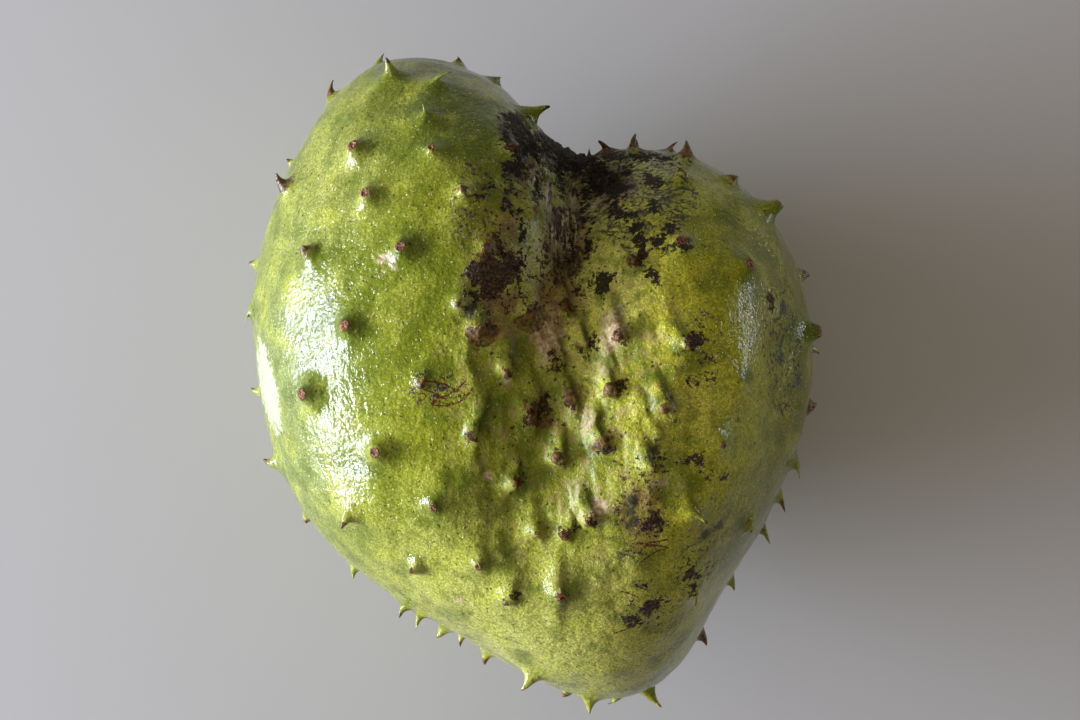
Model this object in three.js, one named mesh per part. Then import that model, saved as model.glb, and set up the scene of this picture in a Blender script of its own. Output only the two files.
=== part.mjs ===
// A heart-shaped soursop lying on its side on one small flat spot.
// Millimetres, +Z up. +Y runs towards the two lobes and the stalk notch, -Y towards the blunt tip.
import * as THREE from "three";
import { ConvexHull } from "three/addons/math/ConvexHull.js";

// Driving dimensions of the body
const TOP_HEIGHT = 68; // from the widest level up to the crown
const BOTTOM_DEPTH = 64; // from the widest level down, before the rest spot is pressed flat
const REST_DEPTH = 62.5; // from the widest level down to the rest spot
const FULLNESS = 2.2; // exponent of the side profile, 2 is an ellipse
const SWELL = 0.8; // height of the slow lumps in the flesh

// Outline at the widest level: azimuth in degrees from +X, and radius
const OUTLINE = [
  [0, 72],
  [30, 74],
  [55, 70.5],
  [70, 65],
  [80, 60.5],
  [89, 65],
  [99, 79],
  [109, 90],
  [120, 95],
  [136, 90.5],
  [155, 84],
  [180, 77],
  [205, 75.5],
  [235, 71.5],
  [255, 74.5],
  [273, 85],
  [285, 90],
  [295, 86],
  [310, 74],
  [335, 69.5],
];

// The valley that runs from the notch to the middle of each side
const VALLEY_DEPTH = 8;
const VALLEY_WIDTH = 11;
const VALLEY_X_AT_MIDDLE = 5;
const VALLEY_LEAN = 0.06; // sideways drift of the valley for each mm towards the notch
const VALLEY_START_Y = -18;
const VALLEY_FULL_Y = 48;

// The broad hollow between the two lobes, on the upper side
const HOLLOW_DEPTH = 6.5;
const HOLLOW_WIDTH = 16;
const HOLLOW_X_AT_MIDDLE = 4;
const HOLLOW_START_Y = -62;
const HOLLOW_FULL_Y = -22;

// The crest of the smaller lobe, beside the hollow
const CREST_HEIGHT = 6.5;
const CREST_X_AT_MIDDLE = 37;
const CREST_WIDTH = 19;
const CREST_MIDDLE_Y = 0;
const CREST_LENGTH = 58;

// Sideways drift of the hollow and the crest for each mm towards the notch
const LOBE_LEAN = 0.2;

// Mesh density
const SKIN_POINTS = 1240;
const SPINE_SIDES = 6;
const SKIN_CLEARANCE = 2.8; // bare strip between a spine's foot and the next skin point
const RING_NESTING = 0.5; // size of each ring of directions against the ring outside it
const STRAIGHT_LEAN = 0.5; // share of its lean that a straight spine has all along
const CURL_LOSS = 0.3; // height that a full curl takes from the tip, as a share of the length
const FOOT_SHARE_OF_GAP = 0.44; // widest foot radius against the distance to the nearest spine
const HIDDEN_SPINE_POINTS = 118;
const HIDDEN_SPINE_GAP = 13.5; // least distance between two of them
const HIDDEN_SPINE_LEAN = -0.5; // towards the blunt tip
const REST_SPOT_GAP = 29; // no spine grows nearer than this to the middle of the rest spot
const REST_CLEARANCE = 2; // least height of a spine's middle line over the surface the fruit lies on
const SHORTEST_SPINE = 1.5; // a spine with less room than this isn't grown

// Kinds of spine. foot is the radius where it leaves the skin. Each ring is [share of length, radius],
// and end is the share of the length at the middle of the tip.
const HOOK = { foot: 4.4, rings: [[0.24, 2], [0.5, 1.15], [0.78, 0.6]], end: 1, curl: 0.95 };
const SPINE = { foot: 4.3, rings: [[0.3, 1.8], [0.68, 0.8]], end: 1, curl: 0.5 };
const STUB = { foot: 5.4, rings: [[0.5, 2.9], [1, 1.5]], end: 0.85, curl: 0.1 };
const NUB = { foot: 3.4, rings: [[0.7, 1.3]], end: 1, curl: 0.2 };
const BUD = { foot: 4.6, rings: [[0.6, 1.8]], end: 1, curl: 0.2 };

// Spines that stand on the upper side: x, y, kind, length, and the way the tip leans in x and y
const UPPER_SPINES = [
  // left lobe
  [-27, 53, STUB, 2.9, 0, 0.4],
  [-33, 30, STUB, 2.9, -0.2, 0],
  [-46, 12, STUB, 2.9, -0.1, 0],
  [-56, -4, STUB, 3.6, -0.3, 0.1],
  [-46, 55, STUB, 2.9, 0, 0.3],
  [-42, 43, STUB, 2.5, -0.3, 0.3],
  [-19, 43, SPINE, 3.5, 0.2, 0.3],
  [-57, 30, NUB, 3, -0.4, 0],
  [-29, 63, SPINE, 6.5, 0.1, 0.5],
  [-28, 73, HOOK, 6.5, 0.8, 0.4],
  [-39, 76, SPINE, 8, 0.2, 0.4],
  [-66, 48, HOOK, 5, -0.5, 0.5],
  [-9, 55, NUB, 2.5, 0, 0],
  [-14, 30, NUB, 2.5, 0, -0.2],
  [-3, 39, NUB, 3, 0.2, 0.4],
  // left flank and middle
  [-39, -17, STUB, 2.9, -0.1, 0],
  [-26, -30, STUB, 2.9, 0, 0],
  [-29, -1, NUB, 2, 0, 0],
  [-17, -13, NUB, 3, 0.1, -0.2],
  [-8, -25, NUB, 3, 0.1, -0.2],
  [-20, 17, BUD, 2.5, 0.1, 0],
  [-15, 11, BUD, 2, 0.1, 0],
  [-9, 2, BUD, 2.5, -0.1, -0.1],
  [-4, 15, BUD, 2, -0.2, -0.1],
  [4, 16, BUD, 2.5, 0, -0.2],
  [1, 3, BUD, 3, -0.3, -0.3],
  [-3, -9, BUD, 3, -0.2, -0.3],
  [9, 8, BUD, 2.5, -0.2, -0.4],
  [6, -5, BUD, 2.5, 0.1, 0.3],
  [4, -19, BUD, 3, -0.3, -0.3],
  [16, -3, BUD, 3, -0.3, -0.4],
  [13, -15, BUD, 3, 0.1, -0.3],
  [18, 10, BUD, 3, -0.1, -0.2],
  // lower end
  [-47, -33, HOOK, 4.5, -0.6, -0.5],
  [-31, -46, NUB, 3, -0.2, -0.4],
  [-36, -59, SPINE, 4, -0.7, -0.5],
  [-32, -61.5, HOOK, 5.5, 0.1, -0.8],
  [-16, -44, STUB, 2.5, 0.1, -0.2],
  [-8, -53, SPINE, 3.5, -0.2, -0.6],
  [4, -51, STUB, 2.5, 0.1, -0.2],
  [-2, -36, STUB, 2.5, 0.1, -0.2],
  [5, -37, NUB, 2.5, 0, -0.2],
  [10, -33, NUB, 3, 0, -0.2],
  [-3, -76, HOOK, 6.5, -0.3, -0.8],
  // right side
  [28, -6, SPINE, 3, 0, -0.9],
  [45, -1, HOOK, 6, 0.6, -0.7],
  [40, -15, STUB, 2.5, 0.1, -0.1],
  [35, -31, HOOK, 6.5, 0.3, -0.9],
  [24, -20, SPINE, 3.5, 0.3, -0.7],
  [50, -36, NUB, 2.5, 0, -0.4],
  [36, -52, HOOK, 5, 0.2, -0.9],
  [32, 31, STUB, 2.5, -0.1, 0],
  [21, 27, NUB, 3, 0, 0],
  [47, 26, STUB, 2.5, 0, 0],
  [65, 11, STUB, 4.5, 0.2, 0],
  [32, 8, SPINE, 3.5, 0, -0.2],
  [54, 41, STUB, 5.5, 0.8, 0.1],
  [46, 49, NUB, 3, 0.3, 0.3],
  [34, 49, NUB, 3, 0, 0.5],
  [36, 56, SPINE, 5, 0.3, 0.8],
  [23, 58, SPINE, 7, 0, 0.6],
  [-5, 67, HOOK, 7, 0.9, 0.4],
];

// Spines round the widest level: azimuth and elevation in degrees, kind, length, lean in x and y
const RIM_SPINES = [
  [118.5, 0, HOOK, 4.5, 0.3, 0.4],
  [110.5, -5, NUB, 3, 0, 0.3],
  [106, 1, NUB, 3.5, 0.2, 0.3],
  [100.5, 4, SPINE, 3, 0.9, 0.1],
  [127.5, 3, HOOK, 6, 0.5, 0.4],
  [131.5, -8, NUB, 3.5, -0.2, 0.2],
  [140, 0, HOOK, 4, -0.2, 0.7],
  [153, -3, NUB, 3, -0.2, 0.2],
  [159, 4, HOOK, 4, -0.3, 0.5],
  [167, 14, HOOK, 6, 0.1, -1.3],
  [183.5, 0, SPINE, 4, -0.3, 0.1],
  [198, 17, HOOK, 4, -0.9, -0.1],
  [210, 0, NUB, 3.5, 0, -0.5],
  [225, 2, HOOK, 7.5, 0.2, -0.9],
  [248.5, 2, SPINE, 5, 0, -0.4],
  [252.5, -5, HOOK, 6.5, -0.3, -0.6],
  [258.5, 3, SPINE, 4.5, -0.3, -0.4],
  [262, -7, NUB, 3.5, -0.2, -0.4],
  [274.5, 0, NUB, 4, 0, -0.4],
  [278, 12, SPINE, 5, -0.3, -0.7],
  [283, 0, HOOK, 4.5, -0.5, -0.5],
  [288, 1, SPINE, 8, 0.2, -0.5],
  [300.5, 1, HOOK, 5, 0.7, -0.6],
  [306, -6, NUB, 4, 0.2, -0.2],
  [312, 3, HOOK, 9, 0.1, -1],
  [319.5, -5, SPINE, 4, 0, -0.8],
  [325, 0, HOOK, 8, 0.3, -1],
  [333, 2, HOOK, 7.5, -0.1, -1],
  [341, 22, HOOK, 5, 0.4, -0.8],
  [347, -2, NUB, 3, 0, -0.4],
  [353, 7, NUB, 3, 0, 0.2],
  [6, -1, SPINE, 4.5, 0.3, -0.2],
  [21.5, 3, NUB, 3.5, 0.2, 0.2],
  [61, 4, SPINE, 4.5, 0.4, 0.5],
  [67, -6, SPINE, 8, 0.2, 0.4],
  [74, 6, SPINE, 4.5, -0.3, 0.5],
  [78, -5, SPINE, 4.5, -0.4, 0.4],
];

const DEGREE = Math.PI / 180;
const NORMAL_STEP = 0.02; // step in direction used to measure the slope of the skin

function smoothStep(low, high, value) {
  return THREE.MathUtils.smoothstep(value, low, high);
}

// Steady pseudo-random number from 0 to 1 for a whole number
function scatter(seed) {
  const wave = Math.sin(seed * 12.9898) * 43758.5453;
  return wave - Math.floor(wave);
}

// Outline radius at an azimuth in degrees: a closed smooth curve through the OUTLINE points
function outlineRadius(azimuth) {
  const count = OUTLINE.length;
  const turn = ((azimuth % 360) + 360) % 360;
  const point = (index) => {
    const laps = Math.floor(index / count);
    const [angle, radius] = OUTLINE[index - laps * count];
    return { angle: angle + 360 * laps, radius };
  };
  let start = count - 1;
  while (OUTLINE[start][0] > turn) {
    start -= 1;
  }
  const [before, from, to, after] = [-1, 0, 1, 2].map((step) => point(start + step));
  const span = to.angle - from.angle;
  const slopeFrom = (to.radius - before.radius) / (to.angle - before.angle);
  const slopeTo = (after.radius - from.radius) / (after.angle - from.angle);
  const t = (turn - from.angle) / span;
  const rise = t * t * (3 - 2 * t);
  const bend = t * (1 - t) * span;
  return from.radius + (to.radius - from.radius) * rise + bend * (slopeFrom * (1 - t) - slopeTo * t);
}

// The outline evened out, which the section tends to near the crown
function softOutlineRadius(azimuth) {
  const offsets = [-40, -20, 0, 20, 40];
  const sum = offsets.reduce((total, offset) => total + outlineRadius(azimuth + offset), 0);
  return sum / offsets.length;
}

// How far the skin sinks towards the middle at a point of the upper or lower side
function valleyDepth(x, y, elevation) {
  const middle = VALLEY_X_AT_MIDDLE + VALLEY_LEAN * y;
  const across = Math.exp(-(((x - middle) / VALLEY_WIDTH) ** 2));
  const along = smoothStep(VALLEY_START_Y, VALLEY_FULL_Y, y);
  const offRim = smoothStep(4, 38, Math.abs(elevation) / DEGREE);
  return VALLEY_DEPTH * across * along * offRim;
}

// Height that the upper side gains on the crest of the smaller lobe and loses in the hollow
function lobeRelief(x, y, elevation) {
  const drift = LOBE_LEAN * y;
  const acrossHollow = Math.exp(-(((x - HOLLOW_X_AT_MIDDLE - drift) / HOLLOW_WIDTH) ** 2));
  const alongHollow = smoothStep(HOLLOW_START_Y, HOLLOW_FULL_Y, y);
  const acrossCrest = Math.exp(-(((x - CREST_X_AT_MIDDLE - drift) / CREST_WIDTH) ** 2));
  const alongCrest = Math.exp(-(((y - CREST_MIDDLE_Y) / CREST_LENGTH) ** 2));
  const crest = CREST_HEIGHT * acrossCrest * alongCrest;
  const hollow = HOLLOW_DEPTH * acrossHollow * alongHollow;
  return (crest - hollow) * smoothStep(4, 38, elevation / DEGREE);
}

// Slow lumps of the flesh under the skin
function swell(direction) {
  const acrossWave = Math.sin(direction.x * 5.1 + direction.z * 2.3 + 0.6);
  const alongWave = Math.cos(direction.y * 4.3 - direction.z * 3.1);
  return SWELL * acrossWave * alongWave;
}

// Point of the bare skin in a direction from the middle of the fruit
function skinPoint(direction) {
  const azimuth = Math.atan2(direction.y, direction.x) / DEGREE;
  const elevation = Math.asin(THREE.MathUtils.clamp(direction.z, -1, 1));
  const flatness = Math.sin(elevation) ** 2;
  const plan = THREE.MathUtils.lerp(outlineRadius(azimuth), softOutlineRadius(azimuth), flatness);
  const height = elevation > 0 ? TOP_HEIGHT : BOTTOM_DEPTH;
  const sideways = (Math.cos(elevation) / plan) ** FULLNESS;
  const upwards = (Math.abs(direction.z) / height) ** FULLNESS;
  let radius = (sideways + upwards) ** (-1 / FULLNESS);
  radius += swell(direction);
  const x = direction.x * radius;
  const y = direction.y * radius;
  radius += lobeRelief(x, y, elevation) - valleyDepth(x, y, elevation);
  if (direction.z * radius < -REST_DEPTH) {
    radius = REST_DEPTH / -direction.z;
  }
  return direction.clone().multiplyScalar(radius);
}

// Unit vector square to the one given
function sidewaysOf(vector) {
  const upright = Math.abs(vector.z) > 0.9;
  const helper = new THREE.Vector3(0, upright ? 1 : 0, upright ? 0 : 1);
  return helper.cross(vector).normalize();
}

// Outward normal of the bare skin, from two short steps along it
function skinNormal(direction) {
  const side = sidewaysOf(direction).multiplyScalar(NORMAL_STEP);
  const over = new THREE.Vector3().crossVectors(direction, side);
  const reach = (offset, sign) => skinPoint(direction.clone().addScaledVector(offset, sign).normalize());
  const alongSide = reach(side, 1).sub(reach(side, -1));
  const alongOver = reach(over, 1).sub(reach(over, -1));
  return alongSide.cross(alongOver).normalize();
}

function directionOf(azimuth, elevation) {
  const flat = Math.cos(elevation * DEGREE);
  const angle = azimuth * DEGREE;
  return new THREE.Vector3(flat * Math.cos(angle), flat * Math.sin(angle), Math.sin(elevation * DEGREE));
}

// Direction of the upper skin point that stands over x, y
function directionOver(x, y) {
  const azimuth = Math.atan2(y, x) / DEGREE;
  const reach = Math.hypot(x, y);
  let low = 0;
  let high = 90;
  for (let pass = 0; pass < 24; pass += 1) {
    const middle = (low + high) / 2;
    const point = skinPoint(directionOf(azimuth, middle));
    if (Math.hypot(point.x, point.y) > reach) {
      low = middle;
    } else {
      high = middle;
    }
  }
  return directionOf(azimuth, low);
}

// Evenly spread directions over the whole sphere
function spreadDirections(count) {
  const golden = Math.PI * (3 - Math.sqrt(5));
  return Array.from({ length: count }, (_, index) => {
    const z = 1 - (2 * index + 1) / count;
    const flat = Math.sqrt(1 - z * z);
    return new THREE.Vector3(flat * Math.cos(golden * index), flat * Math.sin(golden * index), z);
  });
}

function makeSpine(direction, kind, length, leanX, leanY) {
  const foot = skinPoint(direction);
  const normal = skinNormal(direction);
  const lean = new THREE.Vector3(leanX, leanY, 0);
  return { direction, foot, normal, kind, length, lean };
}

// The underside carries the same spines at the same spacing, all curling towards the tip
function hiddenSpines(placed) {
  const kinds = [SPINE, STUB, HOOK, SPINE, NUB];
  const restMiddle = new THREE.Vector3(0, 0, -REST_DEPTH);
  const spines = [];
  spreadDirections(HIDDEN_SPINE_POINTS).forEach((direction, index) => {
    const foot = skinPoint(direction);
    const taken = [...placed, ...spines].some((spine) => spine.foot.distanceTo(foot) < HIDDEN_SPINE_GAP);
    if (direction.z > -0.02 || taken || foot.distanceTo(restMiddle) < REST_SPOT_GAP) {
      return;
    }
    const kind = kinds[Math.floor(scatter(index) * kinds.length)];
    const length = THREE.MathUtils.lerp(3.5, 6.5, scatter(index + 0.5));
    const leanX = THREE.MathUtils.lerp(-0.2, 0.2, scatter(index + 0.25));
    spines.push(makeSpine(direction, kind, length, leanX, HIDDEN_SPINE_LEAN));
  });
  return spines;
}

// A spine low on the side stays short enough to clear the surface the fruit lies on
function fitAboveRest(spine) {
  const room = spine.foot.z + REST_DEPTH - REST_CLEARANCE;
  const drop = Math.max(-spine.normal.z, 0.01);
  return { ...spine, length: Math.min(spine.length, room / drop) };
}

// The feet of close neighbours are narrower, so that they never meet
function shrinkFoot(spine, spines) {
  const gaps = spines.filter((other) => other !== spine).map((other) => other.foot.distanceTo(spine.foot));
  const footRadius = Math.min(spine.kind.foot, FOOT_SHARE_OF_GAP * Math.min(...gaps));
  return { ...spine, footRadius };
}

function allSpines() {
  const upper = UPPER_SPINES.map(([x, y, ...rest]) => makeSpine(directionOver(x, y), ...rest));
  const rim = RIM_SPINES.map(([azimuth, rise, ...rest]) => makeSpine(directionOf(azimuth, rise), ...rest));
  const shown = [...upper, ...rim];
  const spines = [...shown, ...hiddenSpines(shown)].map(fitAboveRest);
  const grown = spines.filter((spine) => spine.length > SHORTEST_SPINE);
  return grown.map((spine) => shrinkFoot(spine, grown));
}

// Each point of the mesh has a direction, which decides what it is joined to, and a place.
// A spine's rings are nested circles of directions lifted off the skin.
function spinePoints(spine) {
  const { foot, normal, kind, length, lean, footRadius } = spine;
  const across = sidewaysOf(normal);
  const along = new THREE.Vector3().crossVectors(normal, across);
  const slide = lean.clone().addScaledVector(normal, -lean.dot(normal));
  // Middle line of the spine: it starts along the normal and a curled kind bends over towards its tip
  const axisPoint = (share) => {
    const sideways = length * share * THREE.MathUtils.lerp(STRAIGHT_LEAN, share, kind.curl);
    const upwards = length * share * (1 - CURL_LOSS * kind.curl * share * slide.length());
    return foot.clone().addScaledVector(normal, upwards).addScaledVector(slide, sideways);
  };
  const circle = (radius, twist, side) => {
    const angle = ((side + twist) / SPINE_SIDES) * 2 * Math.PI;
    const point = across.clone().multiplyScalar(radius * Math.cos(angle));
    return point.addScaledVector(along, radius * Math.sin(angle));
  };
  const narrow = footRadius / kind.foot;
  const points = [];
  for (let side = 0; side < SPINE_SIDES; side += 1) {
    const direction = foot.clone().add(circle(footRadius, 0, side)).normalize();
    points.push({ direction, place: skinPoint(direction) });
  }
  kind.rings.forEach(([share, radius], ring) => {
    const twist = 0.5 * ((ring + 1) % 2);
    const nested = footRadius * RING_NESTING ** (ring + 1);
    const centre = axisPoint(share);
    for (let side = 0; side < SPINE_SIDES; side += 1) {
      const direction = foot.clone().add(circle(nested, twist, side)).normalize();
      points.push({ direction, place: centre.clone().add(circle(radius * narrow, twist, side)) });
    }
  });
  points.push({ direction: spine.direction.clone(), place: axisPoint(kind.end) });
  return points;
}

// Points of the bare skin between the spines
function skinPoints(spines) {
  const isClear = (place) =>
    spines.every((spine) => spine.foot.distanceTo(place) > spine.footRadius + SKIN_CLEARANCE);
  const directions = spreadDirections(SKIN_POINTS);
  const points = directions.map((direction) => ({ direction, place: skinPoint(direction) }));
  return points.filter(({ place }) => isClear(place));
}

// One closed surface through all the points: the hull of their directions says which ones are neighbours
function closedSurface(points) {
  const hull = new ConvexHull().setFromPoints(points.map((point) => point.direction));
  const order = new Map(points.map((point, index) => [point.direction, index]));
  const corners = hull.faces.flatMap(({ edge }) => [edge.prev, edge, edge.next]);
  const faces = corners.map((corner) => order.get(corner.head().point));
  const geometry = new THREE.BufferGeometry();
  const places = points.flatMap((point) => point.place.toArray());
  geometry.setAttribute("position", new THREE.Float32BufferAttribute(places, 3));
  geometry.setIndex(faces);
  return geometry;
}

// Origin at the middle of the fruit's footprint, on the surface it lies on
function standOnOrigin(geometry) {
  geometry.computeBoundingBox();
  const middle = geometry.boundingBox.getCenter(new THREE.Vector3());
  geometry.translate(-middle.x, -middle.y, -geometry.boundingBox.min.z);
  geometry.computeVertexNormals();
}

function buildFruit() {
  const spines = allSpines();
  const points = [...spines.flatMap(spinePoints), ...skinPoints(spines)];
  const geometry = closedSurface(points);
  standOnOrigin(geometry);
  const skin = new THREE.MeshStandardMaterial({ color: 0x8f9f3c, roughness: 0.5, metalness: 0 });
  const fruit = new THREE.Mesh(geometry, skin);
  fruit.name = "fruit";
  return fruit;
}

const soursop = new THREE.Group();
soursop.add(buildFruit());

export default soursop;
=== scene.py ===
import math
import bpy
import numpy as np
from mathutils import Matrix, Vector, noise


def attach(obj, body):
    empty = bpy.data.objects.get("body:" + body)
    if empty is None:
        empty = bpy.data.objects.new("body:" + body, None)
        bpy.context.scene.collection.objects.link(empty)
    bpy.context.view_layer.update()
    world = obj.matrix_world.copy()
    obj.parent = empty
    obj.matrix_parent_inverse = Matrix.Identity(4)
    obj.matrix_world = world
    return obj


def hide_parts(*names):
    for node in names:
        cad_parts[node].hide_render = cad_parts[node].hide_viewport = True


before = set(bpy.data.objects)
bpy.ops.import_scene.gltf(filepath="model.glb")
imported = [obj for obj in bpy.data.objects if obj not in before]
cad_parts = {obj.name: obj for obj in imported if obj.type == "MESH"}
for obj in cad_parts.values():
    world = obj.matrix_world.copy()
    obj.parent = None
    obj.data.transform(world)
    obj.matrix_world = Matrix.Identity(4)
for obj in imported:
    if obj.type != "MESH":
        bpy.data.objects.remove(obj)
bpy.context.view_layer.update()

print("fruit solid loaded")


def toLinear(hexColour):
    channels = [int(hexColour[at:at + 2], 16) / 255 for at in (1, 3, 5)]
    return [c / 12.92 if c <= 0.04045 else ((c + 0.055) / 1.055) ** 2.4 for c in channels] + [1.0]


# one node with its settings; an input given as a socket is linked, anything else is its value
def addNode(tree, kind, settings=None, inputs=None):
    node = tree.nodes.new("ShaderNode" + kind)
    for name, value in (settings or {}).items():
        setattr(node, name, value)
    for socket, value in (inputs or {}).items():
        if isinstance(value, bpy.types.NodeSocket):
            tree.links.new(value, node.inputs[socket])
        else:
            node.inputs[socket].default_value = value
    return node


def newMaterial(name):
    material = bpy.data.materials.new(name)
    material.use_nodes = True
    material.node_tree.nodes.clear()
    return material


# the studio: table, windows, room light and camera, in metres and watts
studio = {
    "tableSize": 4.0,
    "tableColours": ("#c3c2c2", "#c8c7c6"),     # nearly even, with a faint cloudiness
    "tableClouds": 6.0,                         # how many to a metre
    "tableRoughness": 0.62,
    "lightAim": (0.0, 0.0, 0.06),
    # lights: place, size, power, colour, and whether the wax shows their reflection
    "lights": {
        # bright and low, on the left
        "window": ((-1.452, -0.20, 0.25), (1.12, 0.24), 51.0, "#e3ebff", True),
        # its dimmer upper panes
        "upperWindow": ((-0.98, -0.02, 0.71), (0.99, 0.54), 5.0, "#e9eeff", False),
        # another, small and low on the right, for sparkles only
        "farWindow": ((1.56, 0.40, 0.10), (0.8, 0.085), 5.4, "#dfe9ff", True),
    },
    "roomColour": "#d2c4b0",
    "roomStrength": (0.72, 0.17),               # towards the window, and away from it
    "roomReach": 0.8,                           # how far to each side the room's light goes on changing
    "cameraPlace": (0.00107, 0.00597, 0.4755),
    "lens": 50.0,
}


def addTable():
    bpy.ops.object.select_all(action="DESELECT")
    bpy.ops.mesh.primitive_plane_add(size=studio["tableSize"], location=(0, 0, 0))
    table = bpy.context.object
    table.name = "table"
    # matt white laminate: it shows the room's light softly and no reflections
    laminate = newMaterial("mattLaminate")
    tree = laminate.node_tree
    coords = addNode(tree, "TexCoord").outputs["Object"]
    cloud = addNode(tree, "TexNoise", None, {"Vector": coords, "Scale": studio["tableClouds"], "Detail": 2.0})
    colour = addNode(tree, "MixRGB", None, {
        "Fac": cloud.outputs["Fac"],
        "Color1": toLinear(studio["tableColours"][0]),
        "Color2": toLinear(studio["tableColours"][1]),
    })
    shader = addNode(tree, "BsdfPrincipled", None, {
        "Base Color": colour.outputs[0], "Roughness": studio["tableRoughness"]})
    addNode(tree, "OutputMaterial", None, {"Surface": shader.outputs[0]})
    table.data.materials.append(laminate)


def addSoftLight(name, place, size, power, colour, inWax):
    turn = (Vector(studio["lightAim"]) - Vector(place)).to_track_quat("-Z", "Y").to_euler()
    bpy.ops.object.light_add(type="AREA", location=place, rotation=turn)
    light = bpy.context.object
    light.name = name
    light.data.shape = "RECTANGLE"
    light.data.size, light.data.size_y = size
    light.data.energy = power
    light.data.color = toLinear(colour)[:3]
    light.visible_camera = False
    light.visible_glossy = inWax


def addStudio():
    addTable()
    for name, light in studio["lights"].items():
        addSoftLight(name, *light)
    world = bpy.data.worlds.new("room")
    world.use_nodes = True
    background = world.node_tree.nodes["Background"]
    background.inputs["Color"].default_value = toLinear(studio["roomColour"])
    across = addNode(world.node_tree, "TexCoord").outputs["Generated"]
    across = addNode(world.node_tree, "SeparateXYZ", None, {0: across}).outputs[0]
    strength = addNode(world.node_tree, "MapRange", None, {
        "Value": across, "From Min": -studio["roomReach"], "From Max": studio["roomReach"],
        "To Min": studio["roomStrength"][0], "To Max": studio["roomStrength"][1]}).outputs[0]
    world.node_tree.links.new(strength, background.inputs["Strength"])
    scene = bpy.context.scene
    scene.world = world
    scene.view_settings.view_transform = "Standard"
    bpy.ops.object.camera_add(location=studio["cameraPlace"], rotation=(0, 0, 0))
    camera = bpy.context.object
    camera.name = "camera"
    camera.data.lens = studio["lens"]
    camera.data.dof.use_dof = False
    scene.camera = camera


addStudio()
print("studio ready")


# the rind: the whole fruit in one skin, all lengths in mm
rind = {
    "smoothLevels": 2,
    "fitPasses": 3,
    "fitShare": 0.8,
    "fineCentre": (9, 14),          # the middle of the upper side gets a finer mesh for its low ridges
    "fineHalf": (33, 48),
    "fineLowest": 84,
    "crustCentre": (9, 56),         # and the crumbly notch a finer one again
    "crustHalf": (20, 13),
    "crustLowest": 60,
    "coarseBelow": 54,              # the mesh is thinned out under this height
    "coarseShare": 0.28,
    "upperAbove": 85,               # a spine whose foot is higher than this is on the upper side
    "reliefFade": (60, 90),         # low relief fades in between these heights
    "moundHeight": 0.5,             # soft rise of the skin round each spine
    "moundRadius": 7.5,
    "moundReach": 22,
    "smallMound": 0.5,              # share of it round a small spine
    "lumpHeight": 0.35,
    "lumpSize": 11,
    "padCentre": (10, -12),
    "padHalf": (44, 62),
    "padHeight": (0.7, 1.4),        # each spine of the middle stands at the lower end of a long pad
    "padLength": (9, 16),
    "padFade": 0.45,                # share of the ellipse over which the pads grow to full height
    "leastPad": 0.02,
    "bluntPad": 0.5,                # share of a pad's height at a blunt spine
    # across a pad or one of the long folds, from left to right: where each part begins, is full, still is,
    # and ends
    "padSide": (-4.8, -0.4, 0.5, 1.2),      # it climbs gently on its left and drops steeply on its right
    "padPaintedLight": (-4.4, -1.6, -0.7, -0.1),   # painted highlight: the pale part of the climb, where the window light falls
    "padShadow": (-0.4, 0.5, 0.8, 3.2),     # painted shadow: the dark foot of the steep side
    # the same painted highlight and painted shadow for the folds
    "foldPaintedLight": (-3.4, -1.2, -0.6, 0.0),
    "foldShadow": (-0.4, 0.5, 0.8, 4.4),
    # along a pad or one of the long folds: where its lower end begins and is full, and how it thins out
    # upwards
    "padFoot": (-2.2, 0.2),
    "padTaper": 0.2,                        # from this share of its length
    "shadowFoot": (-3.4, -0.8),
    "shadowTaper": 0.3,
    "foldFoot": (-3, 2),
    "foldTaper": 5,                         # over this many mm past its end
    "foldWander": 1.6,                      # how far the edges of pads and folds wander
    "wanderSize": 9,
    "notchAt": (4, 66),             # all pads point away from the notch
    "ridgeHeight": 0.45,
    "ridgeWidth": 2.8,
    "ridgeLength": 16,
    "wrinkleHeight": 0.45,
    "wrinkleWidth": 2.2,
    "wrinkleCentre": (8, 42),
    "wrinkleHalf": (9, 20),
    "wrinkleFade": 0.4,
    "crustHeight": 1.3,
    "crustGrain": 2.4,
    "crustDepth": (40, 62),         # the crumbs fade in between these heights
    "fieldFade": 0.5,               # share of an ellipse over which ridges, crumbs and wear fade in
}


# long folds of the middle in plan: upper end, lower end, height
folds = (
    (-14.7, 8, -13.4, -22, 0.5),
    (-13.2, -24, -12.4, -42, 0.4),
    (-1, 3, -0.4, -12, 0.7),
    (4.4, 13, 10.4, -8, 0.8),
    (25, -2, 29, -13, 0.6),
    (16, 13, 19, 3, 0.7),
    (-8, -38, -5, -50, 0.6),
    (6.4, -42, 5.4, -58, 0.6),
    (25, -42, 28, -56, 0.6),
)
foldShade = {"crest": 0.7, "paintedCreaseShadow": 0.4}     # how strongly the painted highlight and painted shadow are laid on the folds, against a pad


def readPlaces(mesh):
    flat = np.empty(len(mesh.vertices) * 3)
    mesh.vertices.foreach_get("co", flat)
    return flat.reshape(-1, 3) * 1000


def writePlaces(mesh, places):
    mesh.vertices.foreach_set("co", (places / 1000).ravel())
    mesh.update()


def copyFruit():
    piece = bpy.data.objects.new("rind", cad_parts["fruit"].data.copy())
    bpy.context.scene.collection.objects.link(piece)
    piece.data.materials.clear()
    bpy.ops.object.select_all(action="DESELECT")
    piece.select_set(True)
    bpy.context.view_layer.objects.active = piece
    bpy.ops.mesh.customdata_custom_splitnormals_clear()
    bpy.ops.object.mode_set(mode="EDIT")
    bpy.ops.mesh.select_mode(type="FACE")
    bpy.ops.mesh.select_all(action="SELECT")
    bpy.ops.mesh.remove_doubles(threshold=0.00001)
    bpy.ops.object.mode_set(mode="OBJECT")
    bpy.ops.object.shade_smooth()
    return piece


# mean distance of a ring's points from their middle
def ringWidth(places, ring):
    points = places[list(ring)]
    return np.linalg.norm(points - points.mean(0), axis=1).mean()


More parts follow.
